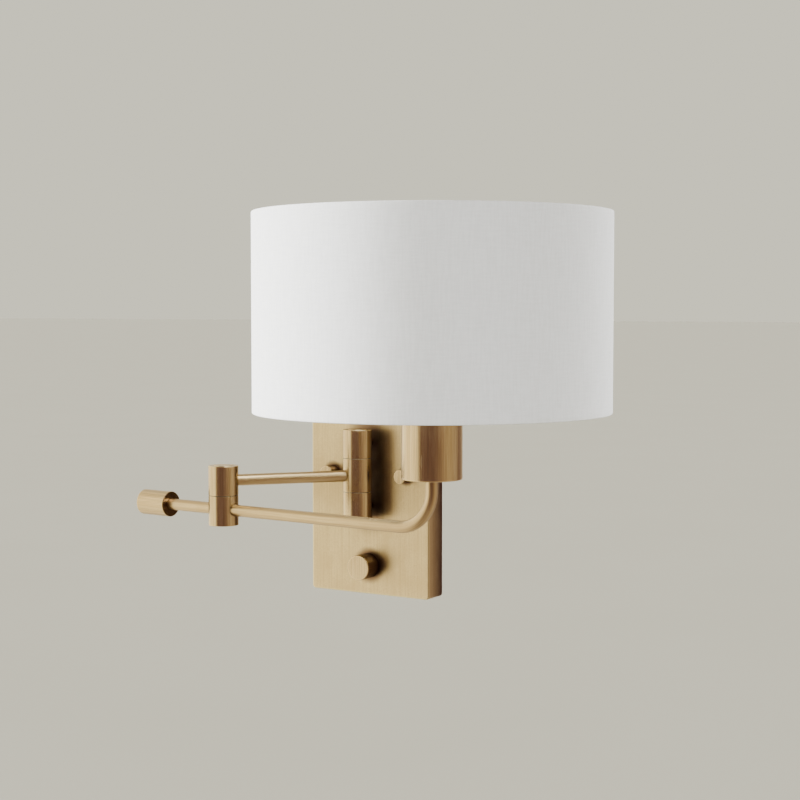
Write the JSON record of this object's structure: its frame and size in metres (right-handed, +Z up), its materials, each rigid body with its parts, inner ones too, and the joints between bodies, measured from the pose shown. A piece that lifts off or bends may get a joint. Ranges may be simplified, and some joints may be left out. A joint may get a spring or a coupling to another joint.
{
  "type": "swing arm wall sconce",
  "caption": "Wall lamp with a two-part swinging brass arm, a side handle, a rotary dimmer knob on a rectangular backplate, and a white linen drum shade.",
  "frame": {"origin": "middle of the mounting crossbar's back face, where it bears on the wall, level with the cap nuts", "axes": "+Y into the wall, +Z up, +X right along the wall as seen from the room; the lamp stands out towards -Y"},
  "size_m": [0.4371, 0.2847, 0.3203],
  "materials": {
    "satin_brass": "brushed satin antique brass, lacquered",
    "zinc_steel": "zinc plated",
    "black_phenolic": "moulded black phenolic",
    "dark_nylon": "dark nylon washer",
    "green_screw": "green dyed zinc",
    "wire_sheath": "white insulated lead",
    "white_linen": "plain woven off-white linen",
    "styrene": "translucent white sheet",
    "white_enamel": "white powder coat",
    "bare_aluminium": "bare rolled thread",
    "frosted_glass": "frosted white glass"
  },
  "bodies": {
    "wall_unit": {"canopy": "satin_brass", "crossbar": "zinc_steel", "stud_left": "zinc_steel", "stud_right": "zinc_steel", "stud_nut_left": "zinc_steel", "stud_nut_right": "zinc_steel", "cap_nut_left": "satin_brass", "cap_nut_right": "satin_brass", "ground_screw": "green_screw", "post_upper_sleeve": "satin_brass", "post_lower_sleeve": "satin_brass", "post_upper_plug": "satin_brass", "post_lower_plug": "satin_brass", "post_upper_nut": "zinc_steel", "post_lower_nut": "zinc_steel", "post_upper_washer": "dark_nylon", "post_lower_washer": "dark_nylon", "post_spindle": "zinc_steel", "wire_nipple": "satin_brass", "wire_nipple_nut": "zinc_steel", "lower_standoff": "satin_brass", "lower_standoff_nut": "zinc_steel", "dimmer_body": "black_phenolic", "dimmer_bushing": "zinc_steel", "dimmer_panel_nut": "zinc_steel", "dimmer_lead": "wire_sheath"},
    "inner_arm": {"shoulder_hub": "satin_brass", "inner_arm_tube": "satin_brass", "inner_arm_lead": "wire_sheath", "elbow_upper_sleeve": "satin_brass", "elbow_upper_plug": "satin_brass", "elbow_upper_nut": "zinc_steel", "elbow_lower_nut": "zinc_steel", "elbow_spindle": "zinc_steel", "elbow_washer": "dark_nylon"},
    "outer_arm": {"elbow_lower_sleeve": "satin_brass", "elbow_lower_plug": "satin_brass", "outer_arm_tube": "satin_brass", "outer_arm_lead": "wire_sheath", "handle_rod": "satin_brass", "handle_grip": "satin_brass", "socket_cup": "satin_brass", "cup_locknut": "zinc_steel", "lampholder": "black_phenolic", "screw_shell": "bare_aluminium", "centre_contact": "satin_brass", "shade_ring_nut": "black_phenolic", "shade_fabric": "white_linen", "shade_liner": "styrene", "shade_hoop_bottom": "white_enamel", "shade_hoop_top": "white_enamel", "shade_fitter": "white_enamel", "bulb_cap": "bare_aluminium", "bulb_glass": "frosted_glass"},
    "dimmer_control": {"dimmer_knob": "satin_brass", "dimmer_shaft": "zinc_steel"}
  },
  "joints": [
    {"name": "post_swing", "type": "hinge", "parent": "wall_unit", "child": "inner_arm", "pos_m": [0, -0.0418, 0], "axis": [0, 0, 1], "range_deg": [-46, 123]},
    {"name": "elbow_swing", "type": "hinge", "parent": "inner_arm", "child": "outer_arm", "pos_m": [-0.07343, -0.13378, -0.0121], "axis": [0, 0, -1], "range_deg": [-10, 256]},
    {"name": "knob_turn", "type": "hinge", "parent": "wall_unit", "child": "dimmer_control", "pos_m": [0, -0.03, -0.0801], "axis": [0, 1, 0], "range_deg": [0, 270]}
  ]
}
